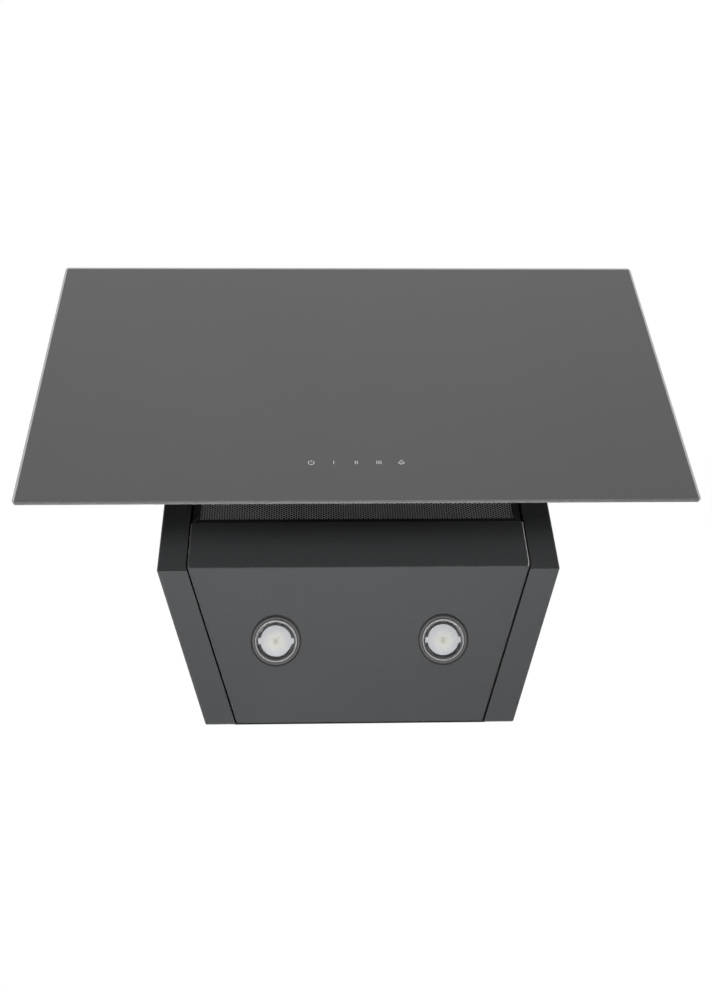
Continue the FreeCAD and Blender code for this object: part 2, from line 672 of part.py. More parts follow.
def lamp(x):
    """One recessed lamp: clear bezel, white diffuser, board and can, held by two spring clips."""
    centre = (x, LAMP_Y, BOTTOM_Z)
    bore = LAMP_CAN + FIT_CLEARANCE
    bezel = turned([(LAMP_FLANGE, 0), (LAMP_FLANGE, LAMP_FLANGE_ARRIS - LAMP_FLANGE_HEIGHT),
                    (LAMP_FLANGE - LAMP_FLANGE_ARRIS, -LAMP_FLANGE_HEIGHT),
                    (LAMP_RIM + LAMP_RIM_SLOPE, -LAMP_FLANGE_HEIGHT), (LAMP_RIM, -LAMP_PROUD),
                    (LAMP_RIM - LAMP_RIM_WIDTH, -LAMP_PROUD), (LAMP_THROAT, LAMP_STEP), (bore, LAMP_STEP),
                    (bore, LAMP_BARREL_HEIGHT), (LAMP_BARREL, LAMP_BARREL_HEIGHT), (LAMP_BARREL, 0)], centre)
    led_top = LED_LEVEL + LED_BOARD
    skirt = DIFFUSER_RADIUS - LAMP_WALL
    diffuser = turned([(0, -DIFFUSER_CROWN), (DIFFUSER_RADIUS / 2, -DIFFUSER_CROWN / 2),
                       (DIFFUSER_RADIUS, DIFFUSER_CROWN), (DIFFUSER_RADIUS, DIFFUSER_TOP),
                       (skirt, DIFFUSER_TOP), (skirt, LED_LEVEL), (skirt - LAMP_WALL, LED_LEVEL),
                       (skirt - LAMP_WALL, DIFFUSER_TOP), (0, DIFFUSER_TOP)], centre)
    tab_half = DIFFUSER_TAB / 2
    tab = box(x - LAMP_THROAT + SEAT, x + LAMP_THROAT - SEAT, LAMP_Y - tab_half, LAMP_Y + tab_half,
              BOTTOM_Z + DIFFUSER_TAB_LEVEL, BOTTOM_Z + DIFFUSER_TOP)
    diffuser = diffuser.fuse(tab).removeSplitter()
    board_edge = LAMP_CAN - LAMP_WALL
    board = turned([(0, LED_LEVEL), (board_edge, LED_LEVEL), (board_edge, led_top), (0, led_top)], centre)
    can_low = LAMP_STEP + FIT_CLEARANCE
    can_top = can_low + LAMP_CAN_HEIGHT
    ceiling = can_top - LAMP_WALL
    shelf = board_edge - FIT_CLEARANCE - LAMP_WALL
    rebate = board_edge + FIT_CLEARANCE
    can = turned([(rebate, can_low), (LAMP_CAN, can_low), (LAMP_CAN, ceiling), (board_edge, can_top),
                  (0, can_top), (0, ceiling), (shelf, ceiling), (shelf, led_top), (rebate, led_top)], centre)
    heel = LAMP_BARREL + CLIP_THICKNESS
    toe = CLIP_REACH - CLIP_TOE
    clip_outline = [(LAMP_BARREL, CLIP_LOW), (LAMP_BARREL, CLIP_HIGH), (heel, CLIP_HIGH),
                    (toe, SHEET + CLIP_THICKNESS), (CLIP_REACH, SHEET + CLIP_TOE_RISE + CLIP_THICKNESS),
                    (CLIP_REACH, SHEET + CLIP_TOE_RISE), (toe, SHEET), (heel, CLIP_HIGH - CLIP_THICKNESS),
                    (heel, CLIP_LOW)]
    clips = []
    for side in (-1, 1):
        outline = [(LAMP_Y + side * radius, BOTTOM_Z + height) for radius, height in clip_outline]
        clips.append(prism_x(outline, x - CLIP_WIDTH / 2, x + CLIP_WIDTH / 2))
    return {"lamp_bezel": bezel, "lamp_diffuser": diffuser, "led_board": board, "lamp_can": can}, clips


def lamps():
    pieces = {}
    clips = []
    for side, x in (("left", -LAMP_SPACING / 2), ("right", LAMP_SPACING / 2)):
        shapes, pair = lamp(x)
        pieces.update({name + "_" + side: shape for name, shape in shapes.items()})
        clips += pair
    pieces["lamp_clips"] = Part.makeCompound(clips)
    return pieces


def arc(centre, radius, start, end):
    """Side-view arc about (y, z), in degrees from +Y towards +Z."""
    angles = [math.radians(a) for a in (start, (start + end) / 2, end)]
    return Part.Arc(*[Vector(0, centre[0] + radius * math.cos(a), centre[1] + radius * math.sin(a))
                      for a in angles]).toShape()


def scroll_sizes():
    """Centres and radii of the three scroll arcs, and the tongue, about the fan's axis."""
    radii = [FAN_RADIUS + SCROLL_GAP + SCROLL_GROWTH * step for step in range(3)]
    rise = SCROLL_GROWTH / 5
    first = (0, rise)
    second = (radii[0] - radii[1], rise)
    third = (second[0], rise - radii[1] + radii[2])
    tongue = math.radians(TONGUE_ANGLE)
    nose = (first[0] + (radii[0] + TONGUE_NOSE) * math.cos(tongue),
            first[1] + (radii[0] + TONGUE_NOSE) * math.sin(tongue))
    return radii, (first, second, third), nose


def scroll_path(offset):
    """Scroll line from the mouth's front wall round to the tongue's wall, at an offset outwards."""
    radii, (first, second, third), nose = scroll_sizes()
    top = FAN_DROP - OUTLET_PLATE
    front = third[0] - radii[2] - offset
    wall = nose[0] - TONGUE_NOSE + offset
    edges = [Part.LineSegment(Vector(0, front, top), Vector(0, front, third[1])).toShape(),
             arc(third, radii[2] + offset, 180, 270),
             arc(second, radii[1] + offset, 270, 360),
             arc(first, radii[0] + offset, 0, TONGUE_ANGLE),
             arc(nose, TONGUE_NOSE - offset, TONGUE_ANGLE + 180, 180),
             Part.LineSegment(Vector(0, wall, nose[1]), Vector(0, wall, top)).toShape()]
    return edges


def mouth():
    """Front and rear of the scroll's outlet, as depths from the wall."""
    radii, (first, second, third), nose = scroll_sizes()
    return (FAN_Y + third[0] - radii[2], FAN_Y + nose[0] - TONGUE_NOSE)


def collar_y():
    return sum(mouth()) / 2


def closed_face(edges_a, edges_b):
    """Face between two open lines whose ends are joined straight across."""
    ends = []
    for end in (0, -1):
        a = edges_a[end].Vertexes[end].Point
        b = edges_b[end].Vertexes[end].Point
        ends.append(Part.LineSegment(a, b).toShape())
    ordered = Part.sortEdges(edges_a + edges_b + ends)[0]
    return Part.Face(Part.Wire(ordered))


def scroll():
    """Spiral wrap, two side plates with inlet lips, and the outlet flange under the roof."""
    inside = scroll_path(0)
    outside = scroll_path(SCROLL_SHEET)
    at_fan = Vector(-SCROLL_HALF, FAN_Y, FAN_Z)
    wrap = closed_face(inside, outside).extrude(Vector(SCROLL_WIDTH, 0, 0))
    wrap.translate(at_fan)
    lid = Part.LineSegment(outside[-1].Vertexes[-1].Point, outside[0].Vertexes[0].Point).toShape()
    cheek = Part.Face(Part.Wire(Part.sortEdges(outside + [lid])[0])).extrude(Vector(SCROLL_SHEET, 0, 0))
    cheek.translate(Vector(SCROLL_HALF, FAN_Y, FAN_Z))
    inlet = BLADE_INNER - SEAT
    lip = turned([(inlet, SCROLL_HALF), (inlet + INLET_LIP, SCROLL_HALF + SCROLL_SHEET),
                  (inlet + INLET_LIP / 2, SCROLL_HALF + INLET_LIP),
                  (inlet + INLET_LIP / 2 - SCROLL_SHEET, SCROLL_HALF + INLET_LIP),
                  (inlet - SCROLL_SHEET, SCROLL_HALF)], (0, FAN_Y, FAN_Z), (1, 0, 0))
    opening = rod(inlet, (SCROLL_HALF - SCROLL_SHEET, FAN_Y, FAN_Z), (SCROLL_HALF + INLET_LIP, FAN_Y, FAN_Z))
    right = cheek.cut(opening).fuse(lip).removeSplitter()
    left = cheek.cut(opening)
    for place in spider_screw_places():
        left = left.cut(screw_hole((-place[0], place[1], place[2]), (1, 0, 0)))
    front, rear = mouth()
    front -= SCROLL_SHEET
    rear += SCROLL_SHEET
    half = SCROLL_HALF + SCROLL_SHEET
    plate = box(-half - OUTLET_RIM, half + OUTLET_RIM, front - OUTLET_RIM, rear + OUTLET_RIM,
                TOP_Z - OUTLET_PLATE, TOP_Z)
    plate = rounded_upright(plate, OUTLET_RIM / 2)
    plate = plate.cut(box(-SCROLL_HALF, SCROLL_HALF, *mouth(), TOP_Z - 2 * OUTLET_PLATE,
                          TOP_Z + OUTLET_PLATE))
    for place in collar_screw_places():
        plate = plate.cut(screw_hole(place, (0, 0, -1)))
    return {"scroll_wrap": wrap, "scroll_side_left": mirrored(left), "scroll_side_right": right,
            "outlet_flange": plate}


def polar(radius, degrees):
    angle = math.radians(degrees)
    return Vector(0, radius * math.cos(angle), radius * math.sin(angle))


def impeller():
    """Double-inlet wheel: forward-curved blades between two rings, on a central disc and hub."""
    half = FAN_WIDTH / 2
    turn = math.degrees(BLADE_THICKNESS / (FAN_RADIUS - BLADE_DEPTH / 2))
    middle = FAN_RADIUS - BLADE_DEPTH / 2
    arcs = []
    for shift in (0, turn):
        arcs.append(Part.Arc(polar(BLADE_INNER, shift), polar(middle, shift - BLADE_SWEEP * 0.3),
                             polar(FAN_RADIUS - FAN_RING / 2, shift - BLADE_SWEEP)).toShape())
    blade = closed_face([arcs[0]], [arcs[1]]).extrude(Vector(FAN_WIDTH - FAN_RING, 0, 0))
    blade.translate(Vector(-half + FAN_RING / 2, 0, 0))
    solids = []
    for index in range(BLADE_COUNT):
        copy = blade.copy()
        copy.rotate(Vector(0, 0, 0), Vector(1, 0, 0), index * 360 / BLADE_COUNT)
        solids.append(copy)
    for x in (-half, half - FAN_RING):
        solids.append(tube(FAN_RADIUS, BLADE_INNER, (x, 0, 0), (x + FAN_RING, 0, 0)))
    solids.append(rod(FAN_RADIUS, (0, 0, 0), (FAN_RING, 0, 0)))
    solids.append(rod(HUB_RADIUS, (0, 0, 0), (HUB_LENGTH, 0, 0)))
    wheel = joined(solids)
    wheel = wheel.cut(rod(SHAFT_RADIUS, (-half, 0, 0), (half, 0, 0)))
    shaft = rod(SHAFT_RADIUS, (motor_start(), 0, 0), (HUB_LENGTH, 0, 0))
    for shape in (wheel, shaft):
        shape.translate(Vector(0, FAN_Y, FAN_Z))
    return {"impeller": wheel, "motor_shaft": shaft}


def motor_start():
    """Outer end of the motor, on the left of the fan's disc."""
    return -FAN_RING - MOTOR_LENGTH


def spider_screw_places():
    radius = BLADE_INNER + SPIDER_WIDTH
    x = -SCROLL_HALF - SCROLL_SHEET - SPIDER_PLATE
    places = []
    for arm in range(SPIDER_ARMS):
        point = polar(radius, 90 + arm * 360 / SPIDER_ARMS)
        places.append((x, FAN_Y + point.y, FAN_Z + point.z))
    return places


def motor():
    """Motor can inside the left inlet, held by a spider screwed to the scroll's side."""
    start = motor_start()
    bore = SHAFT_RADIUS + RUNNING_CLEARANCE
    shoulder = MOTOR_RADIUS - MOTOR_ROUND
    can = turned([(bore, start), (shoulder, start), (MOTOR_RADIUS, start + MOTOR_ROUND),
                  (MOTOR_RADIUS, -FAN_RING - MOTOR_ROUND), (shoulder, -FAN_RING), (bore, -FAN_RING)],
                 (0, 0, 0), (1, 0, 0))
    x = -SCROLL_HALF - SCROLL_SHEET
    reach = BLADE_INNER + 2 * SPIDER_WIDTH
    arms = [tube(MOTOR_RADIUS + SPIDER_RING, MOTOR_RADIUS, (x - SPIDER_PLATE, 0, 0), (x, 0, 0))]
    for arm in range(SPIDER_ARMS):
        bar = box(x - SPIDER_PLATE, x, MOTOR_RADIUS + SPIDER_RING / 2, reach, -SPIDER_WIDTH / 2,
                  SPIDER_WIDTH / 2)
        bar.rotate(Vector(0, 0, 0), Vector(1, 0, 0), 90 + arm * 360 / SPIDER_ARMS)
        arms.append(bar)
    spider = joined(arms)
    for shape in (can, spider):
        shape.translate(Vector(0, FAN_Y, FAN_Z))
    for place in spider_screw_places():
        spider = spider.cut(screw_hole(place, (1, 0, 0)))
    return {"motor_can": can, "motor_spider": spider}


def collar_screw_places():
    """Screws through the collar's flange and the roof, on its diagonals."""
    radius = (COLLAR_RADIUS + COLLAR_FLANGE) / 2
    offset = radius * math.sqrt(0.5)
    return [(a * offset, collar_y() + b * offset, ROOF_TOP + COLLAR_PLATE) for a in (-1, 1) for b in (-1, 1)]


def outlet():
    """Duct collar with a stop ring and two half-round check flaps on one cross pin."""
    inner = COLLAR_RADIUS - COLLAR_WALL
    pin_z = FLAP_HEIGHT
    stop = pin_z - FLAP_KNUCKLE - SEAT
    centre = (0, collar_y(), ROOF_TOP)
    collar = turned([(inner, 0), (COLLAR_FLANGE, 0), (COLLAR_FLANGE, COLLAR_PLATE),
                     (COLLAR_RADIUS, COLLAR_PLATE), (COLLAR_RADIUS, COLLAR_HEIGHT), (inner, COLLAR_HEIGHT),
                     (inner, stop), (inner - FLAP_STOP, stop), (inner - FLAP_STOP, stop - COLLAR_WALL),
                     (inner, stop - COLLAR_WALL)], centre)
    y, z = collar_y(), ROOF_TOP + pin_z
    pin_half = COLLAR_RADIUS - COLLAR_WALL / 4
    collar = collar.cut(rod(FLAP_PIN + FIT_CLEARANCE, (-pin_half, y, z), (pin_half, y, z)))
    for place in collar_screw_places():
        collar = collar.cut(screw_hole(place, (0, 0, -1)))
    pin = rod(FLAP_PIN, (-pin_half + FIT_CLEARANCE, y, z), (pin_half - FIT_CLEARANCE, y, z))
    edge = FLAP_KNUCKLE + SEAT
    radius = inner - 2 * SEAT
    level = z - FLAP_KNUCKLE
    disc = rod(radius, (0, y, level), (0, y, level + FLAP_THICKNESS))
    step = radius / 6
    knuckles = {"flap_front": ((-4, -2), (2, 4)), "flap_rear": ((-5.6, -4), (-1, 1), (4, 5.6))}
    flaps = {}
    for name, spans in knuckles.items():
        side = -1 if name == "flap_front" else 1
        half_space = box(-FAR, FAR, *sorted((y + side * edge, y + side * FAR)), -FAR, FAR)
        solids = [disc.common(half_space)]
        for low, high in spans:
            ends = (low * step + SEAT, high * step - SEAT)
            solids.append(rod(FLAP_KNUCKLE, (ends[0], y, z), (ends[1], y, z)))
            solids.append(box(*ends, *sorted((y, y + side * 2 * edge)), level, level + FLAP_THICKNESS))
        flap = joined(solids)
        flaps[name] = flap.cut(rod(FLAP_PIN + RUNNING_CLEARANCE, (-radius, y, z), (radius, y, z)))
    return {"outlet_collar": collar, "flap_pin": pin, **flaps}


def electronics():
    """Control box on the back plate, with its cover, board and motor capacitor."""
    half = BOX_WIDTH / 2
    low = BOTTOM_Z + BOX_RISE
    high = low + BOX_HEIGHT
    back = -SHEET
    front = back - BOX_DEPTH
    shell = box(-half, half, front, back, low, high)
    room = box(-half + BOX_WALL, half - BOX_WALL, front - BOX_WALL, back - BOX_WALL, low + BOX_WALL,
               high - BOX_WALL)
    inset = 2 * BOX_WALL
    board_back = back - BOX_WALL - BOARD_STANDOFF
    board = box(-half + inset, half - inset, board_back - CONTROL_BOARD, board_back, low + inset,
                high - inset)
    posts = []
    for x in (-half + 2 * inset, half - 2 * inset):
        for z in (low + 2 * inset, high - 2 * inset):
            posts.append(rod(BOX_WALL, (x, board_back, z), (x, back - BOX_WALL, z)))
    shell = joined([shell.cut(room)] + posts)
    cover = box(-half, half, front - BOX_WALL, front, low, high)
    plug = box(-half + BOX_WALL + FIT_CLEARANCE, half - BOX_WALL - FIT_CLEARANCE, front, front + BOX_WALL,
               low + BOX_WALL + FIT_CLEARANCE, high - BOX_WALL - FIT_CLEARANCE)
    hollow = box(-half + inset, half - inset, front, front + BOX_WALL, low + inset, high - inset)
    cover = cover.fuse(plug.cut(hollow)).removeSplitter()
    middle = (low + high) / 2
    capacitor_y = board_back - CONTROL_BOARD - CAPACITOR_RADIUS
    crimp = CAPACITOR_RADIUS - CAPACITOR_CRIMP
    capacitor = turned([(0, 0), (crimp, 0), (CAPACITOR_RADIUS, CAPACITOR_CRIMP),
                        (CAPACITOR_RADIUS, CAPACITOR_LENGTH - CAPACITOR_CRIMP), (crimp, CAPACITOR_LENGTH),
                        (0, CAPACITOR_LENGTH)], (-half + 2 * inset, capacitor_y, middle), (1, 0, 0))
    return {"electronics_box": shell, "electronics_cover": cover, "control_board": board,
            "capacitor": capacitor}


def cable_gland():
    """Empty gland in the roof where the supply lead enters, held by a nut below."""
    centre = (GLAND_X, -GLAND_SETBACK, ROOF_TOP)
    body = turned([(GLAND_BORE, -GLAND_TAIL), (GLAND_NECK, -GLAND_TAIL), (GLAND_NECK, 0), (GLAND_RADIUS, 0),
                   (GLAND_RADIUS, GLAND_BASE), (GLAND_CAP, GLAND_BASE + GLAND_CAP_STEP),
                   (GLAND_CAP, GLAND_SHOULDER), (GLAND_NECK, GLAND_HEIGHT), (GLAND_BORE, GLAND_HEIGHT)],
                  centre)
    corners = [polar(GLAND_NUT_RADIUS, 60 * i) for i in range(6)]
    nut = prism_z([(GLAND_X + p.y, p.z - GLAND_SETBACK) for p in corners], TOP_Z - GLAND_NUT, TOP_Z)
    nut = nut.cut(rod(GLAND_NECK + FIT_CLEARANCE, (GLAND_X, -GLAND_SETBACK, BOTTOM_Z), centre))
    return {"cable_gland": body, "gland_nut": nut}


def fasteners():
    """Screws and rivets, one node for each kind of place."""
    tray = []
    for along, out in tray_screw_places():
        for side in (-1, 1):
            tray.append(on_face(screw((side * tray_screw_start(), along, out), (side, 0, 0))))
    rivets = []
    for x, y, z in rivet_places():
        head = rod(RIVET_HEAD, (x, y - RIVET_HEAD_HEIGHT, z), (x, y, z))
        rivets.append(head.fuse(rod(RIVET_RADIUS, (x, y, z), (x, -SEAT, z))).removeSplitter())
    down = (0, 0, -1)
    return {"tray_screws": Part.makeCompound(tray),
            "back_rivets": Part.makeCompound(rivets),
            "roof_screws": Part.makeCompound([screw(place, down) for place in roof_screw_places()]),
            "hinge_screws": on_face(Part.makeCompound([screw(p, down) for p in bracket_screw_places()])),
            "collar_screws": Part.makeCompound([screw(place, down) for place in collar_screw_places()]),
            "spider_screws": Part.makeCompound([screw(place, (1, 0, 0)) for place in spider_screw_places()])}


def main():
    os.makedirs("parts", exist_ok=True)
    groups = (casing, lamp_panel, header_rail, back_plate, roof_cover, glass_front, touch_control, hinges,
              catches, filter_cassette, lamps, scroll, impeller, motor, outlet, electronics, cable_gland,
              fasteners)
    for group in groups:
        for name, shape in group().items():
            shape.exportStep("parts/" + name + ".step")


main()
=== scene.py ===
import json
import math

import bmesh
import bpy
from mathutils import Matrix, Vector


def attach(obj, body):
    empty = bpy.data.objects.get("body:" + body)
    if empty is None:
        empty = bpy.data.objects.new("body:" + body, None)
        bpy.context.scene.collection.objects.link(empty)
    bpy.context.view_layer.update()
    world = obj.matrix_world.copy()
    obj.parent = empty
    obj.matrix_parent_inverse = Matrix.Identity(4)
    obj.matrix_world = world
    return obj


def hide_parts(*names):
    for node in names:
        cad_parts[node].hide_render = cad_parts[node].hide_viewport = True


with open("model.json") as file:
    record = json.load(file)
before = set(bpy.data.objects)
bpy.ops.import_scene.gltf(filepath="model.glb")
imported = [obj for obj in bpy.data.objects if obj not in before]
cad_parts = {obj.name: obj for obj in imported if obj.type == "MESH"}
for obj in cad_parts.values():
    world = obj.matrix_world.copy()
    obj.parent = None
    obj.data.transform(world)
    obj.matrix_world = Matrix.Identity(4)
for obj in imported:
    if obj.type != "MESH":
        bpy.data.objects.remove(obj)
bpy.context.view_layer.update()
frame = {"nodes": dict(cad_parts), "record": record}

# Metres, in the hood's own frame: +Z up, wall at y = 0, room towards -Y.
# The sloping front is described by (across, up the face, out of the face), from the fold under it.
ACROSS = Vector((1, 0, 0))
INTO_ROOM = Vector((0, -1, 0))
UP_FACE = Vector((0, -1, 1)).normalized()
OUT_OF_FACE = Vector((0, -1, -1)).normalized()
FOLD = Vector((0, -0.135, -0.160))
FACE_AXES = Matrix((ACROSS, UP_FACE, OUT_OF_FACE)).transposed()
FACE = Matrix.Translation(FOLD) @ FACE_AXES.to_4x4()
UPRIGHT = Matrix.Identity(4)

# Corners closer than this, or equal to so many digits, are one
SAME_PLACE = 1e-6
SAME_DIGITS = 7

# Perforated sheet of the filter: each hole has a side towards each of the six holes around it,
# and every other column lies higher by a share of the pitch
HOLE_PITCH = 0.00262
HOLE_RADIUS = 0.00124
HOLE_DEPTH = 0.00015
HOLE_SIDES = 6
OPPOSITE = HOLE_SIDES // 2
STAGGER = 0.5

# Touch signs on the glass
SIGN_UP = 0.0833
SIGN_SHIFT = -0.0015
SIGN_PITCH = 0.0202
SIGN_RADIUS = 0.0026
SIGN_STROKE = 0.00072
SIGN_RELIEF = 0.00005
SPEED_BAR = 0.0043
SPEED_BAR_PITCH = 0.0019

# Power and lamp signs: arcs in degrees, the rest as shares of the signs' radius or stroke
ARC_STEPS = 28
POWER_ARC = (125, 415)
POWER_TICK = (1.15, 0.25)
SHADE_TOP, SHADE_FOOT, SHADE_NECK = 0.75, -0.45, 0.28
SHADE_STROKE = 0.9
LAMP_CORD = 1.2
BULB_ARC = (195, 345)
BULB_STEPS = 12
BULB_RADIUS, BULB_DROP = 0.42, 0.55
BULB_STROKE = 0.8

# Screw recesses, drawn as thin raised crosses in painted shade
RECESS_LENGTH = 0.0034
RECESS_WIDTH = 0.0008
RECESS_RELIEF = 0.00004

# Camera below the hood, looking up, as in the photograph
IMAGE_HEIGHT = 992
FOCAL_PIXELS = 1264.8
CAMERA_PLACE = Vector((-0.03965, -0.19882, -1.26754))
CAMERA_ROLL = math.radians(-0.2593)
CAMERA_PITCH = math.radians(-0.0210)
CAMERA_YAW = math.radians(-1.9332)
SENSOR = 36.0

# Room: white where it is seen, much darker as a light; the floor fades to white with distance
WHITE = (1.0, 1.0, 1.0, 1.0)
WHITE_STRENGTH = 1.0
AMBIENT = 0.015
FLOOR_Z = -3.20
FLOOR_SIZE = 60.0
FLOOR_FADE = (0.0, 6.0)
FLOOR_WHITE = (0.5, 1.0)

# Lights: place, size, watts, degrees of spread, and where they point if not at the hood
LIT_PLACE = Vector((0, -0.15, -0.10))
LIGHTS = {
    "front": dict(place=(-0.1, -3.6, 0.35), size=2.2, power=12.6, spread=70.0),
    "front_low": dict(place=(-0.2, -1.6, -2.15), size=2.0, power=5.8, spread=90.0),
    "below_rear": dict(place=(-0.5, 2.9, -2.9), size=0.8, power=13.8, spread=26.0,
                       aim=(0.05, -1.3, -0.16)),
    "above": dict(place=(0.3, -0.35, 1.5), size=1.2, power=13.0, spread=180.0),
    "left": dict(place=(-2.4, 0.1, 0.8), size=1.4, power=16.0, spread=90.0),
    "right": dict(place=(2.4, 0.1, 0.8), size=1.4, power=18.0, spread=90.0),
}

# Most of a noise lies between these values
NOISE_LOW, NOISE_HIGH = 0.3, 0.7

# Tints of grey
NEUTRAL = (1.0, 1.0, 1.0)
COOL = (0.965, 1.0, 1.03)
STEEL = (1.0, 1.01, 1.03)

# Bright specks in the powder coat: values of the noise and tones
SPECKS = ((0.50, 0.0), (0.72, 0.04))

# Painted glint of bright metal at the band's bent ends, strong on the right and faint on the left:
# how far a bend has to face sideways, and the band into the room, where the glint begins and where
# it is full
BEND_FACING = (0.25, 0.50)
BAND_FACING = (0.15, 0.40)
GLINT_RIGHT, GLINT_LEFT = 1.0, 0.12

# Clear margin of the painted glass, at its sides and at its top, bright with painted light, and the
# share that is blurred
GLASS_MARGINS = (0.0023, 0.0032)
MARGIN_BLUR = 0.1

# How squarely the glass looks out of the face, or into it, between its edges and its faces
GLASS_FACING = (0.90, 0.96)

# Half width of the lighter line where the filter's rim is mitred, and how many times that it ends
# at
MITRE_LINE = 0.0003
MITRE_END = 1.5

# Strands of the filter's core, in painted shade near black: distance from their middle and tones
STRAND_SHADE = ((0.04, 0.012), (0.16, 0.002))

# Lamps in the bottom panel: rings as shares of the radius, with their tones or colours; the clear
# bezel's tones are painted light and shade
# Clear bezel: a painted highlight on the raised rim, painted shade in the groove and at the dark
# edge
BEZEL_LIGHT_AND_SHADE = (
    (0.70, 0.24), (0.764, 0.24),                # throat
    (0.782, 0.42), (0.814, 0.40),               # raised rim
    (0.832, 0.10), (0.864, 0.06),               # groove
    (0.90, 0.12), (0.93, 0.06), (0.96, 0.012),  # flange and its dark edge
)
OPAL_RINGS = (
    (0.03, (0.42, 0.42, 0.40)), (0.12, (0.50, 0.50, 0.46)),  # sprue mark
    (0.28, (0.60, 0.60, 0.54)), (0.45, (0.60, 0.60, 0.57)),  # warm light source
    (0.62, (0.55, 0.56, 0.56)), (0.90, (0.49, 0.50, 0.52)),  # plain opal
)
OPAL_PATCHES = (-0.10, 0.10)

# Circuit board: gold pads and two greens of the solder mask
BOARD_CELLS = (
    (0.10, (0.30, 0.26, 0.12)),
    (0.16, (0.012, 0.075, 0.035)),
    (0.80, (0.02, 0.11, 0.055)),
)

# Even finishes: darkest and lightest tone, roughness, scale and depth of the grain
COATINGS = {
    "back_steel": dict(tones=(0.010, 0.014), rough=(0.45, 0.60), grain=900.0, depth=0.00003),
    "inner_steel": dict(tones=(0.42, 0.55), rough=(0.36, 0.52), grain=40.0, depth=0.00002,
                        tint=STEEL, Metallic=0.9),
    "hinge_steel": dict(tones=(0.030, 0.042), rough=(0.38, 0.50), grain=900.0, depth=0.00003,
                        Metallic=0.6),
    "motor_metal": dict(tones=(0.10, 0.14), rough=(0.35, 0.50), grain=500.0, depth=0.00004,
                        Metallic=0.5),
    "filter_aluminium": dict(tones=(0.79, 0.86), rough=(0.74, 0.84), grain=600.0, depth=0.00001,
                             Metallic=1.0),
    "filter_rim": dict(tones=(0.010, 0.015), rough=(0.42, 0.55), grain=1200.0, depth=0.00003),
    "lamp_black": dict(tones=(0.010, 0.016), rough=(0.45, 0.60), grain=1100.0, depth=0.00003),
    "lamp_board": dict(tones=(0.36, 0.50), rough=(0.40, 0.55), grain=700.0, depth=0.00003),
    "black_plastic": dict(tones=(0.016, 0.023), rough=(0.42, 0.58), grain=1300.0, depth=0.00004),
    "touch_foam": dict(tones=(0.018, 0.030), rough=(0.80, 0.95), grain=1800.0, depth=0.0002),
    "sign_print": dict(tones=(0.72, 0.78), rough=(0.35, 0.50), grain=700.0, depth=0.00001),
    "recess_shade": dict(tones=(0.010, 0.018), rough=(0.50, 0.70), grain=900.0, depth=0.00002),
}

# Bare metals: darkest and lightest colour, roughness, stretch across the streaks and their depth
BARE_METALS = {
    "bright_steel": dict(dark=(0.46, 0.46, 0.46), light=(0.62, 0.62, 0.62), rough=(0.28, 0.40),
                         stretch=(1, 1, 6), depth=0.00001),
    "nickel": dict(dark=(0.56, 0.54, 0.50), light=(0.66, 0.64, 0.60), rough=(0.14, 0.22),
                   stretch=(4, 4, 1), depth=0.000004),
    "capacitor_can": dict(dark=(0.55, 0.55, 0.55), light=(0.68, 0.68, 0.68), rough=(0.25, 0.35),
                          stretch=(1, 6, 6), depth=0.000005),
}


def grey(value, tint=NEUTRAL):
    return tuple(value * part for part in tint)


def greys(stops):
    return [(place, grey(tone)) for place, tone in stops]


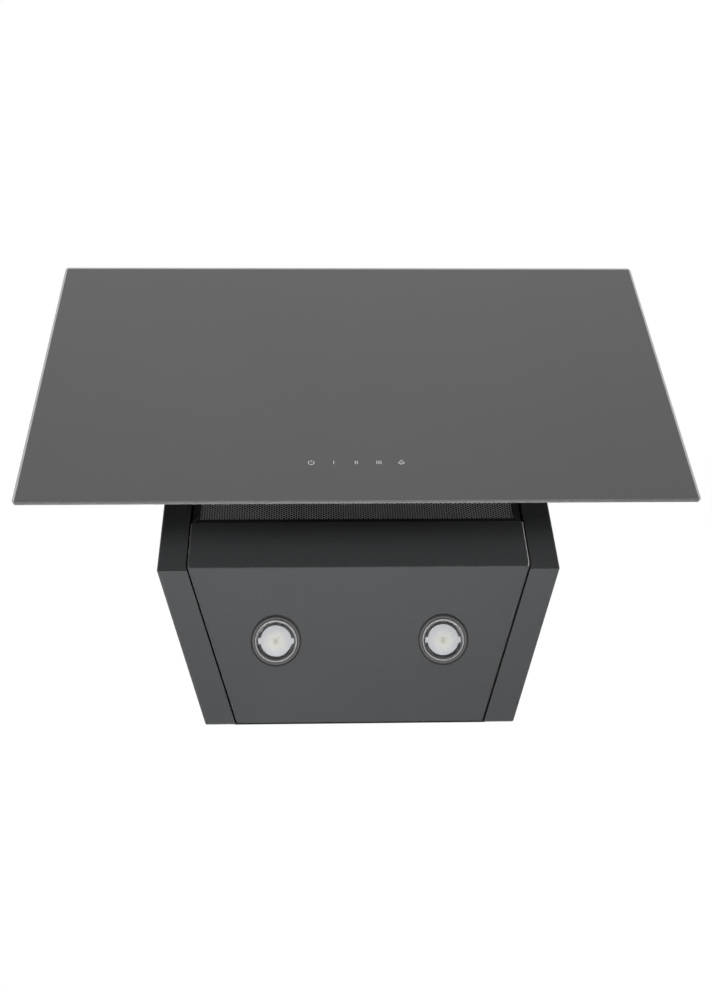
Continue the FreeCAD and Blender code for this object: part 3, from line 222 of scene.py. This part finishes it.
class Finish:
    """A procedural material on the coordinates of the piece that wears it."""

    def __init__(self, name, **sockets):
        self.material = bpy.data.materials.new(name)
        self.material.use_nodes = True
        self.tree = self.material.node_tree
        self.shader = self.tree.nodes["Principled BSDF"]
        self.place = self.tree.nodes.new("ShaderNodeTexCoord")
        for socket, value in sockets.items():
            self.shader.inputs[socket.replace("_", " ")].default_value = value

    def node(self, kind, inputs, **settings):
        """A node whose inputs are numbers, vectors or the outputs of other nodes."""
        made = self.tree.nodes.new(kind)
        for setting, value in settings.items():
            setattr(made, setting, value)
        for key, value in inputs.items():
            if isinstance(value, bpy.types.NodeSocket):
                self.tree.links.new(value, made.inputs[key])
            else:
                made.inputs[key].default_value = value
        return made

    def shade(self, socket, value):
        self.tree.links.new(value, self.shader.inputs[socket])

    def noise(self, scale, detail=2.0, stretch=(1, 1, 1)):
        inputs = {"Vector": self.place.outputs["Object"], "Scale": stretch}
        stretched = self.node("ShaderNodeMapping", inputs).outputs[0]
        inputs = {"Vector": stretched, "Scale": scale, "Detail": detail}
        return self.node("ShaderNodeTexNoise", inputs).outputs["Fac"]

    def cells(self, scale, **settings):
        inputs = {"Vector": self.place.outputs["Object"], "Scale": scale}
        return self.node("ShaderNodeTexVoronoi", inputs, **settings).outputs["Distance"]

    def maths(self, operation, a, b=0.0):
        return self.node("ShaderNodeMath", {0: a, 1: b}, operation=operation).outputs[0]

    def between(self, value, low, high, start=NOISE_LOW, end=NOISE_HIGH):
        """Spread a value that runs from start to end over low to high."""
        inputs = {"Value": value, "From Min": start, "From Max": end,
                  "To Min": low, "To Max": high}
        return self.node("ShaderNodeMapRange", inputs).outputs[0]

    def ramp(self, value, stops):
        made = self.node("ShaderNodeValToRGB", {"Fac": value})
        elements = made.color_ramp.elements
        while len(elements) < len(stops):
            elements.new(1.0)
        for element, (place, colour) in zip(elements, stops):
            element.position = place
            element.color = (*colour, 1.0)
        return made.outputs["Color"]

    def mottled(self, dark, light, scale, detail=2.0):
        """Colour that wanders between two others."""
        return self.ramp(self.noise(scale, detail), ((NOISE_LOW, dark), (NOISE_HIGH, light)))

    def mixed(self, share, first, second, blend="MIX"):
        """Mix of two colours, which are the node's inputs 6 and 7 and its output 2."""
        inputs = {0: share, 6: first, 7: second}
        return self.node("ShaderNodeMix", inputs, data_type="RGBA", blend_type=blend).outputs[2]

    def along(self, vector, way):
        """Reach of a vector along a direction in the hood's frame."""
        made = self.node("ShaderNodeVectorMath", {0: vector, 1: way}, operation="DOT_PRODUCT")
        return made.outputs["Value"]

    def reach(self, way):
        """Distance of a place from the fold, along a direction."""
        inputs = {0: self.place.outputs["Object"], 1: FOLD}
        from_fold = self.node("ShaderNodeVectorMath", inputs, operation="SUBTRACT").outputs[0]
        return self.along(from_fold, way)

    def facing(self, way):
        """How far the surface faces a direction."""
        return self.along(self.place.outputs["Normal"], way)

    def to_side(self, half_width):
        """Distance of a place from the nearer side of a piece of that half width."""
        return self.maths("SUBTRACT", half_width, self.maths("ABSOLUTE", self.reach(ACROSS)))

    def axis_distance(self, x, y):
        """Distance from the nearer of two upright axes at plus and minus x."""
        parts = self.node("ShaderNodeSeparateXYZ", {"Vector": self.place.outputs["Object"]}).outputs
        across = self.maths("SUBTRACT", self.maths("ABSOLUTE", parts["X"]), x)
        along = self.maths("SUBTRACT", parts["Y"], y)
        squares = (self.maths("POWER", part, 2.0) for part in (across, along))
        return self.maths("SQRT", self.maths("ADD", *squares))

    def lamp_radius(self, node):
        """Distance from the nearer lamp's axis, as a share of the radius of a right lamp's node."""
        low, high = node_box(node, UPRIGHT)
        middle = (low + high) / 2
        # Along y, because the diffuser has tabs along x
        radius = (high.y - low.y) / 2
        return self.maths("DIVIDE", self.axis_distance(middle.x, middle.y), radius)

    def gloss(self, low, high, scale):
        """Roughness that wanders between two values."""
        self.shade("Roughness", self.between(self.noise(scale), low, high))

    def relief(self, value, depth, strength=1.0):
        inputs = {"Height": value, "Distance": depth, "Strength": strength}
        self.shade("Normal", self.node("ShaderNodeBump", inputs).outputs["Normal"])


def box(points):
    """Lowest and highest corners of the points' box."""
    return [Vector(pick(point[axis] for point in points) for axis in range(3))
            for pick in (min, max)]


def node_box(node, axes=FACE):
    """Box of a node as (across, up the face, out of the face), or in other axes."""
    back = axes.inverted()
    return box([back @ vertex.co for vertex in frame["nodes"][node].data.vertices])


def coated(name, tones, rough, grain, depth, tint=NEUTRAL, **sockets):
    """Even finish with slow changes of tone, uneven gloss and a fine grain."""
    finish = Finish(name, **sockets)
    ends = (grey(tone, tint) for tone in tones)
    finish.shade("Base Color", finish.mottled(*ends, scale=7.0, detail=3.0))
    finish.gloss(*rough, scale=90.0)
    finish.relief(finish.noise(grain), depth)
    return finish


def rolled(name, dark, light, rough, stretch, depth):
    """Bare metal with the fine streaks of rolling or turning."""
    finish = Finish(name, Metallic=1.0)
    streaks = finish.noise(scale=160.0, detail=4.0, stretch=stretch)
    finish.shade("Base Color", finish.ramp(streaks, ((NOISE_LOW, dark), (NOISE_HIGH, light))))
    finish.gloss(*rough, scale=45.0)
    finish.relief(streaks, depth)
    return finish


def powder_coat(name, glint_ends=False):
    """Anthracite powder coat with a sandy grain, if asked with a painted glint of bright metal at
    the band's ends.
    """
    finish = Finish(name, Specular_IOR_Level=0.2)
    cloud = finish.mottled(grey(0.071, COOL), grey(0.077, COOL), scale=9.0, detail=3.0)
    specks = finish.ramp(finish.noise(scale=1700.0, detail=1.0), greys(SPECKS))
    coat = finish.mixed(1.0, cloud, specks, "ADD")
    if glint_ends:
        # Painted glint: bright metal on the band's bent ends, strong on the right and faint on the
        # left
        sideways = finish.facing(ACROSS)
        right = finish.between(sideways, 0.0, GLINT_RIGHT, *BEND_FACING)
        left = finish.between(sideways, 0.0, GLINT_LEFT, *(-share for share in BEND_FACING))
        on_band = finish.between(finish.facing(INTO_ROOM), 0.0, 1.0, *BAND_FACING)
        glint = finish.maths("MULTIPLY", finish.maths("MAXIMUM", right, left), on_band)
        paler_tone = finish.mottled(grey(0.60), grey(0.75), scale=50.0)
        coat = finish.mixed(glint, coat, paler_tone)
        finish.shade("Metallic", glint)
    finish.shade("Base Color", coat)
    finish.gloss(0.49, 0.56, scale=300.0)
    finish.relief(finish.noise(scale=1500.0), depth=0.00006, strength=0.7)
    return finish


def painted_glass():
    """Glass painted grey behind, up to a clear margin, bright along its sides and top with painted
    light seen through the glass.
    """
    finish = Finish("grey_glass", IOR=1.5)
    high = node_box("glass_panel")[1]
    to_side = finish.to_side(high.x)
    to_top = finish.maths("SUBTRACT", high.y, finish.reach(UP_FACE))
    clear = finish.maths("MAXIMUM", *(
        finish.between(inside, 1.0, 0.0, (1 - MARGIN_BLUR) * margin, (1 + MARGIN_BLUR) * margin)
        for inside, margin in zip((to_side, to_top), GLASS_MARGINS)))
    squarely = finish.maths("ABSOLUTE", finish.facing(OUT_OF_FACE))
    is_face = finish.between(squarely, 0.0, 1.0, *GLASS_FACING)
    paint = finish.mottled(grey(0.098), grey(0.102), scale=4.0)
    paint_edge = finish.mottled(grey(0.12), grey(0.135), scale=400.0)
    # Painted light: the clear margin's face and edges are bright for the white seen through the
    # glass
    light_through_face = finish.mottled(grey(0.58), grey(0.64), scale=60.0)
    light_through_edge = finish.mottled(grey(0.36), grey(0.39), scale=400.0)
    painted_part = finish.mixed(is_face, paint_edge, paint)
    light_through_part = finish.mixed(is_face, light_through_edge, light_through_face)
    finish.shade("Base Color", finish.mixed(clear, painted_part, light_through_part))
    finish.gloss(0.14, 0.18, scale=30.0)
    finish.relief(finish.noise(scale=18.0, detail=1.0), depth=0.000004)
    return finish


def lamp_bezel():
    """Clear bezel over the dark panel, its throat, rim, groove and edge in painted light and shade:
    a painted highlight on the raised rim, painted shade in the groove and at the edge.
    """
    finish = Finish("lamp_clear", IOR=1.58)
    radius = finish.lamp_radius("lamp_bezel_right")
    finish.shade("Base Color", finish.ramp(radius, greys(BEZEL_LIGHT_AND_SHADE)))
    finish.gloss(0.12, 0.24, scale=300.0)
    finish.relief(finish.noise(scale=500.0), depth=0.00001)
    return finish


def lamp_diffuser():
    """Opal diffuser with faint warm patches of the light source and a small sprue mark."""
    finish = Finish("lamp_white", IOR=1.5)
    radius = finish.lamp_radius("lamp_diffuser_right")
    patches = finish.between(finish.noise(scale=280.0, detail=1.0), *OPAL_PATCHES)
    finish.shade("Base Color", finish.ramp(finish.maths("ADD", radius, patches), OPAL_RINGS))
    finish.gloss(0.38, 0.50, scale=200.0)
    finish.relief(finish.noise(scale=900.0), depth=0.00002)
    return finish


def mitred_rim():
    """Black rim with a lighter grey line across each mitred corner."""
    finish = coated("filter_frame", **COATINGS["filter_rim"])
    low, high = node_box("filter_frame")
    up = finish.reach(UP_FACE)
    to_foot = finish.maths("SUBTRACT", up, low.y)
    to_top = finish.maths("SUBTRACT", high.y, up)
    to_end = finish.maths("MINIMUM", to_foot, to_top)
    difference = finish.maths("SUBTRACT", finish.to_side(high.x), to_end)
    off_mitre = finish.maths("ABSOLUTE", difference)
    mitre_mark = finish.between(off_mitre, 1.0, 0.0, MITRE_LINE, MITRE_END * MITRE_LINE)
    coat = finish.shader.inputs["Base Color"].links[0].from_socket
    paler_tone = finish.mottled(grey(0.20), grey(0.28), scale=300.0)
    finish.shade("Base Color", finish.mixed(mitre_mark, coat, paler_tone))
    return finish


def expanded_mesh():
    """Layers of expanded aluminium in painted shade, near black and darkest between the strands."""
    finish = Finish("filter_core")
    strands = finish.cells(scale=420.0, feature="DISTANCE_TO_EDGE")
    finish.shade("Base Color", finish.ramp(strands, greys(STRAND_SHADE)))
    finish.gloss(0.45, 0.65, scale=80.0)
    finish.relief(strands, depth=0.0006)
    return finish


def circuit_board():
    finish = Finish("board")
    tracks = finish.cells(scale=260.0, distance="CHEBYCHEV")
    finish.shade("Base Color", finish.ramp(tracks, BOARD_CELLS))
    finish.gloss(0.36, 0.48, scale=150.0)
    finish.relief(tracks, depth=0.00003)
    return finish


def seen_directly(tree):
    """One for rays from the camera, mirrored or passed through, zero for light on surfaces."""
    path = tree.nodes.new("ShaderNodeLightPath")
    seen = path.outputs["Is Camera Ray"]
    for ray in ("Is Glossy Ray", "Is Transmission Ray"):
        either = tree.nodes.new("ShaderNodeMath")
        either.operation = "MAXIMUM"
        tree.links.new(seen, either.inputs[0])
        tree.links.new(path.outputs[ray], either.inputs[1])
        seen = either.outputs[0]
    return seen


def floor_finish():
    """Pale paint that fades into the white background far from the hood."""
    finish = Finish("floor_paint")
    finish.shade("Base Color", finish.mottled(grey(0.80), grey(0.83), scale=1.5, detail=4.0))
    finish.gloss(0.66, 0.74, scale=12.0)
    finish.relief(finish.noise(scale=200.0), depth=0.0001)
    fade = finish.between(finish.axis_distance(0.0, 0.0), *FLOOR_WHITE, *FLOOR_FADE)
    share = finish.maths("MULTIPLY", fade, seen_directly(finish.tree))
    white = finish.node("ShaderNodeEmission", {"Color": WHITE, "Strength": WHITE_STRENGTH})
    inputs = {0: share, 1: finish.shader.outputs[0], 2: white.outputs[0]}
    shown = finish.node("ShaderNodeMixShader", inputs).outputs[0]
    finish.tree.links.new(shown, finish.tree.nodes["Material Output"].inputs["Surface"])
    return finish


# Finishes by material slot, with those of the scene's own pieces, and the finishes of single nodes
FINISHES = {
    **{name: coated(name, **look) for name, look in COATINGS.items()},
    **{name: rolled(name, **look) for name, look in BARE_METALS.items()},
    "casing_steel": powder_coat("casing_steel"),
    "grey_glass": painted_glass(),
    "lamp_clear": lamp_bezel(),
    "lamp_white": lamp_diffuser(),
    "board": circuit_board(),
}
NODE_FINISHES = {
    # The lamp panel carries the painted glint at its band's ends
    "lamp_panel": powder_coat("lamp_panel", glint_ends=True),
    "filter_frame": mitred_rim(),
    "filter_core": expanded_mesh(),
    "led_board_left": FINISHES["lamp_board"],
    "led_board_right": FINISHES["lamp_board"],
}


def wear(piece, finish):
    piece.data.materials.clear()
    piece.data.materials.append(finish.material)


def put_in_scene(name, data):
    placed = bpy.data.objects.new(name, data)
    bpy.context.scene.collection.objects.link(placed)
    return placed


def new_piece(name, mesh, finish, body):
    piece = put_in_scene(name, mesh)
    wear(piece, finish)
    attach(piece, body)
    return piece


def paint_nodes():
    for part in frame["record"]["subparts"]:
        node = part["node"]
        wear(frame["nodes"][node], NODE_FINISHES.get(node, FINISHES[part["material_slot"]]))


def perforated_sheet():
    """Front sheet of the filter: the webs between its holes, with the holes' walls along them."""
    low, high = node_box("filter_mesh_front")
    column = HOLE_PITCH * math.sqrt(3) / 2
    columns = int((high.x - low.x - 2 * HOLE_RADIUS) / column) + 1
    rows = int((high.y - low.y - 2 * HOLE_RADIUS) / HOLE_PITCH + 1 - STAGGER)
    first_x = (low.x + high.x - (columns - 1) * column) / 2
    first_y = (low.y + high.y - (rows - 1 + STAGGER) * HOLE_PITCH) / 2
    corners = {}
    polygons = []

    def corner(hole, side, level=0):
        return corners.setdefault((*hole, side % HOLE_SIDES, level), len(corners))

    def wall(hole, side):
        polygons.append((corner(hole, side), corner(hole, side + 1),
                         corner(hole, side + 1, 1), corner(hole, side, 1)))

    def web(hole, side, other):
        polygons.append((corner(hole, side), corner(other, side + OPPOSITE + 1),
                         corner(other, side + OPPOSITE), corner(hole, side + 1)))
        wall(hole, side)
        wall(other, side + OPPOSITE)

    def there(hole):
        return 0 <= hole[0] < columns and 0 <= hole[1] < rows

    # Sides 5, 0 and 1 of a hole face the lower and the upper hole of the next column and the hole
    # above. The webs at its other sides are made with the holes there.
    for i in range(columns):
        for j in range(rows):
            hole, above = (i, j), (i, j + 1)
            lower, upper = (i + 1, j + i % 2 - 1), (i + 1, j + i % 2)
            for side, other in ((5, lower), (0, upper), (1, above)):
                if there(other):
                    web(hole, side, other)
            if there(lower) and there(upper):
                polygons.append((corner(hole, 0), corner(lower, 2), corner(upper, 4)))
            if there(above) and there(upper):
                polygons.append((corner(hole, 1), corner(upper, 3), corner(above, 5)))
    points = []
    for i, j, side, level in corners:
        turn = 2 * math.pi * side / HOLE_SIDES
        row = j + STAGGER * (i % 2)
        points.append((first_x + i * column + HOLE_RADIUS * math.cos(turn),
                       first_y + row * HOLE_PITCH + HOLE_RADIUS * math.sin(turn),
                       high.z - level * HOLE_DEPTH))
    mesh = bpy.data.meshes.new("filter_perforated_front")
    mesh.from_pydata(points, [], polygons)
    mesh.transform(FACE)
    aluminium = FINISHES["filter_aluminium"]
    sheet = new_piece("filter_perforated_front", mesh, aluminium, "filter")
    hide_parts("filter_mesh_front")


def stroke(points, width, closed=False):
    """Quads, each sharing its ends with the next, of a line of even width through (x, y) points."""
    spots = [Vector(point) for point in points]
    ways = [(after - spot).normalized() for spot, after in zip(spots, spots[1:] + spots[:1])]
    edges = []
    for index, spot in enumerate(spots):
        before, after = ways[index - 1], ways[index]
        if not closed and index == 0:
            before = after
        if not closed and index == len(spots) - 1:
            after = before
        sides = [Vector((-way.y, way.x)) for way in (before, after)]
        out = (sides[0] + sides[1]) / (1 + sides[0].dot(sides[1])) * width / 2
        edges.append((spot - out, spot + out))
    if closed:
        edges.append(edges[0])
    return [(a, b, d, c) for (a, c), (b, d) in zip(edges, edges[1:])]


def cross(length, width):
    """Outline of two crossed bars."""
    long, short = length / 2, width / 2
    arm = [Vector(point) for point in ((long, -short), (long, short), (short, short))]
    turns = [Matrix.Rotation(quarter * math.pi / 2, 2) for quarter in range(4)]
    return [[turn @ point for turn in turns for point in arm]]


def arc(radius, start, end, steps=ARC_STEPS):
    angles = [math.radians(start + (end - start) * step / steps) for step in range(steps + 1)]
    return [(radius * math.cos(angle), radius * math.sin(angle)) for angle in angles]


def power_sign():
    tick = [(0, SIGN_RADIUS * share) for share in POWER_TICK]
    return stroke(arc(SIGN_RADIUS, *POWER_ARC), SIGN_STROKE) + stroke(tick, SIGN_STROKE)


def speed_sign(speed):
    quads = []
    for bar in range(speed):
        x = (bar - (speed - 1) / 2) * SPEED_BAR_PITCH
        quads += stroke([(x, -SPEED_BAR / 2), (x, SPEED_BAR / 2)], SIGN_STROKE)
    return quads


def lamp_sign():
    top, foot, neck = (SIGN_RADIUS * share for share in (SHADE_TOP, SHADE_FOOT, SHADE_NECK))
    shade = [(-neck, top), (-SIGN_RADIUS, foot), (SIGN_RADIUS, foot), (neck, top)]
    cord = [(0, top + SIGN_STROKE / 2), (0, SIGN_RADIUS * LAMP_CORD)]
    bulb = arc(SIGN_RADIUS * BULB_RADIUS, *BULB_ARC, BULB_STEPS)
    bulb = [(x, y - SIGN_RADIUS * BULB_DROP) for x, y in bulb]
    return (stroke(shade, SIGN_STROKE * SHADE_STROKE, closed=True)
            + stroke(cord, SIGN_STROKE) + stroke(bulb, SIGN_STROKE * BULB_STROKE))


def flat_mesh(name, shapes, thickness):
    """Thin raised shapes, each from polygons that share edges, with its own placement."""
    built = bmesh.new()
    for polygons, place in shapes:
        corners = {}
        rims = {}
        for polygon in polygons:
            tops = []
            for x, y in polygon:
                key = (round(x, SAME_DIGITS), round(y, SAME_DIGITS))
                if key not in corners:
                    corners[key] = [built.verts.new(place @ Vector((x, y, level)))
                                    for level in (thickness, 0)]
                tops.append(corners[key])
            built.faces.new([top for top, foot in tops])
            for a, b in zip(tops, tops[1:] + tops[:1]):
                rims.setdefault(frozenset((a[0], b[0])), []).append((a, b))
        for (a, b), *others in rims.values():
            if not others:
                built.faces.new((b[0], a[0], a[1], b[1]))
        for top, foot in corners.values():
            if not foot.link_faces:
                built.verts.remove(foot)
    mesh = bpy.data.meshes.new(name)
    built.to_mesh(mesh)
    built.free()
    return mesh


def touch_signs():
    """Five common signs: power, three fan speeds and a lamp."""
    signs = [power_sign(), speed_sign(1), speed_sign(2), speed_sign(3), lamp_sign()]
    glass_front = node_box("glass_panel")[1].z
    shapes = []
    for index, quads in enumerate(signs):
        x = (index - (len(signs) - 1) / 2) * SIGN_PITCH + SIGN_SHIFT
        shapes.append((quads, FACE @ Matrix.Translation((x, SIGN_UP, glass_front))))
    mesh = flat_mesh("touch_signs", shapes, SIGN_RELIEF)
    new_piece("touch_signs", mesh, FINISHES["sign_print"], "glass_front")


def islands(node):
    """Vertex places of each separate solid of a node, in the same order each run."""
    built = bmesh.new()
    built.from_mesh(frame["nodes"][node].data)
    bmesh.ops.remove_doubles(built, verts=built.verts, dist=SAME_PLACE)
    left = dict.fromkeys(built.verts)
    groups = []
    while left:
        edge = [left.popitem()[0]]
        group = []
        while edge:
            vertex = edge.pop()
            group.append(vertex.co.copy())
            for link in vertex.link_edges:
                other = link.other_vert(vertex)
                if other in left:
                    del left[other]
                    edge.append(other)
        groups.append(group)
    built.free()
    return groups


def screw_recesses():
    """Cross recesses in the heads of the screws that can be seen, as thin raised crosses in painted
    shade.
    """
    recess = cross(RECESS_LENGTH, RECESS_WIDTH)
    screws = {"roof_screws": UPRIGHT, "collar_screws": UPRIGHT, "hinge_screws": FACE}
    shapes = []
    for node, turn in screws.items():
        back = turn.inverted()
        for group in islands(node):
            low, high = box([back @ point for point in group])
            middle = (low + high) / 2
            shapes.append((recess, turn @ Matrix.Translation((middle.x, middle.y, high.z))))
    mesh = flat_mesh("screw_recesses", shapes, RECESS_RELIEF)
    new_piece("screw_recesses", mesh, FINISHES["recess_shade"], "casing")


def photo_camera():
    roll = Matrix.Rotation(CAMERA_ROLL, 3, "Z")
    turn = roll @ Matrix.Rotation(CAMERA_PITCH, 3, "X") @ Matrix.Rotation(CAMERA_YAW, 3, "Y")
    data = bpy.data.cameras.new("camera")
    data.sensor_width = SENSOR
    data.lens = FOCAL_PIXELS / IMAGE_HEIGHT * SENSOR
    camera = put_in_scene("camera", data)
    axes = Matrix((turn[0], -turn[1], -turn[2])).transposed()
    camera.matrix_world = Matrix.Translation(CAMERA_PLACE) @ axes.to_4x4()
    bpy.context.scene.camera = camera


def soft_light(name, place, size, power, spread, aim=LIT_PLACE):
    """Square area light that can't be seen, not even in reflections."""
    data = bpy.data.lights.new(name, "AREA")
    data.shape = "SQUARE"
    data.size = size
    data.energy = power
    data.spread = math.radians(spread)
    light = put_in_scene(name, data)
    light.location = place
    light.rotation_euler = (Vector(aim) - Vector(place)).to_track_quat("-Z", "Y").to_euler()
    light.visible_camera = False
    light.visible_glossy = False


def white_room():
    """White seen directly and in reflections, and a softer level for what lights the hood."""
    world = bpy.data.worlds.new("white_room")
    bpy.context.scene.world = world
    world.use_nodes = True
    tree = world.node_tree
    tree.nodes.clear()
    mix = tree.nodes.new("ShaderNodeMixShader")
    tree.links.new(seen_directly(tree), mix.inputs[0])
    for slot, strength in ((1, AMBIENT), (2, WHITE_STRENGTH)):
        background = tree.nodes.new("ShaderNodeBackground")
        background.inputs["Color"].default_value = WHITE
        background.inputs["Strength"].default_value = strength
        tree.links.new(background.outputs[0], mix.inputs[slot])
    output = tree.nodes.new("ShaderNodeOutputWorld")
    tree.links.new(mix.outputs[0], output.inputs["Surface"])


def pale_floor():
    half = FLOOR_SIZE / 2
    corners = ((-half, -half), (half, -half), (half, half), (-half, half))
    mesh = bpy.data.meshes.new("floor")
    mesh.from_pydata([(x, y, FLOOR_Z) for x, y in corners], [], [(0, 1, 2, 3)])
    floor = put_in_scene("floor", mesh)
    wear(floor, floor_finish())


paint_nodes()
perforated_sheet()
touch_signs()
screw_recesses()
photo_camera()
white_room()
pale_floor()
for light_name, settings in LIGHTS.items():
    soft_light(light_name, **settings)
bpy.context.scene.view_settings.view_transform = "Standard"
